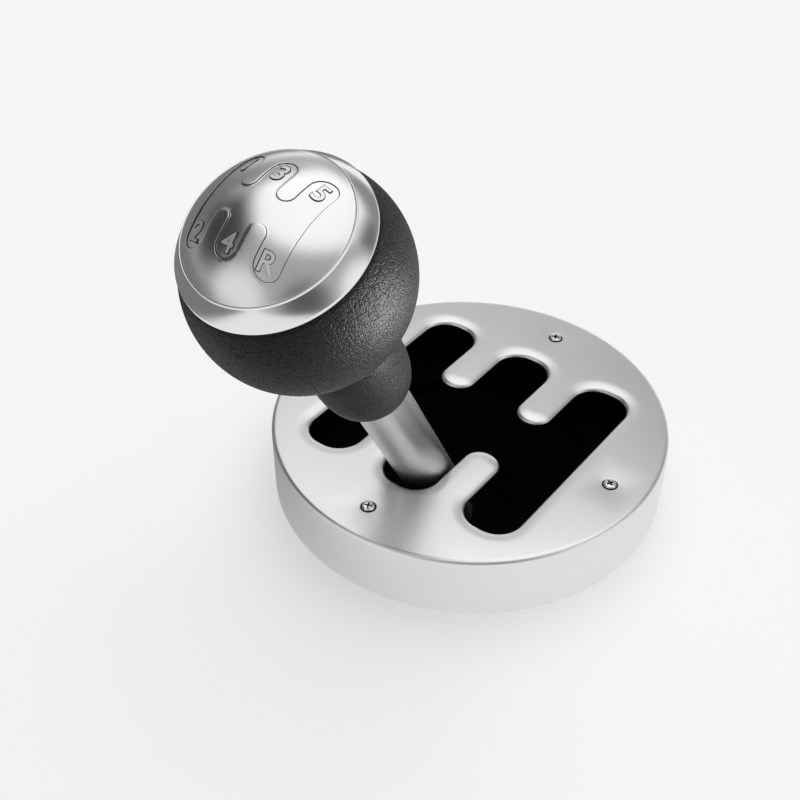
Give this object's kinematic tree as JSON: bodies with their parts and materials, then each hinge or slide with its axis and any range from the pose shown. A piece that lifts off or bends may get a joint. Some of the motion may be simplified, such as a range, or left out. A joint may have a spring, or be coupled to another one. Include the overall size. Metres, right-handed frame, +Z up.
{
  "type": "gear shift knob",
  "caption": "Gear shift knob with leather ball, metal cap and lever, on a round open-gate plate with a ball pivot housing below it.",
  "frame": {"origin": "centre of the gate plate's underside, in the plane of the console face", "axes": "+Z up out of the console, +Y towards the 1-3-5 side, +X towards the 5-R column"},
  "size_m": [0.1, 0.1323, 0.1766],
  "materials": {
    "satin_aluminium": "satin turned",
    "bright_steel": "bright",
    "black_coat": "matt black coat",
    "black_rubber": "matt",
    "black_nylon": "moulded, matt",
    "zinc_steel": "zinc plated",
    "white_acetal": "moulded, smooth",
    "black_acetal": "moulded, smooth",
    "spring_steel": "drawn",
    "satin_steel": "satin",
    "core_plastic": "moulded",
    "insert_brass": "turned",
    "knob_leather": "fine grain",
    "collar_leather": "fine grain",
    "polished_ring": "satin chrome",
    "satin_cap": "satin"
  },
  "bodies": {
    "gate_base": {"gate_cover": "satin_aluminium", "cover_screws": "bright_steel", "base_ring": "black_coat", "console_gasket": "black_rubber", "pivot_housing": "black_nylon", "housing_screws": "zinc_steel", "ball_cup_lower": "white_acetal", "ball_cup_upper": "white_acetal", "cup_retainer": "black_acetal", "bias_plunger_left": "zinc_steel", "bias_plunger_right": "zinc_steel", "bias_spring_left": "spring_steel", "bias_spring_right": "spring_steel", "plunger_clips": "spring_steel"},
    "lever": {"lever_shaft": "satin_steel", "linkage_bush": "white_acetal", "pivot_ball": "black_nylon", "knob_core": "core_plastic", "threaded_insert": "insert_brass", "jam_nut": "zinc_steel", "leather_cover": "knob_leather", "neck_sleeve": "core_plastic", "neck_leather": "collar_leather", "trim_ring": "polished_ring", "pattern_cap": "satin_cap"}
  },
  "joints": [
    {"name": "shift", "type": "hinge", "parent": "gate_base", "child": "lever", "pos_m": [0, 0, -0.0235], "axis": [-1, 0, 0], "range_deg": [0, 54.3]}
  ]
}
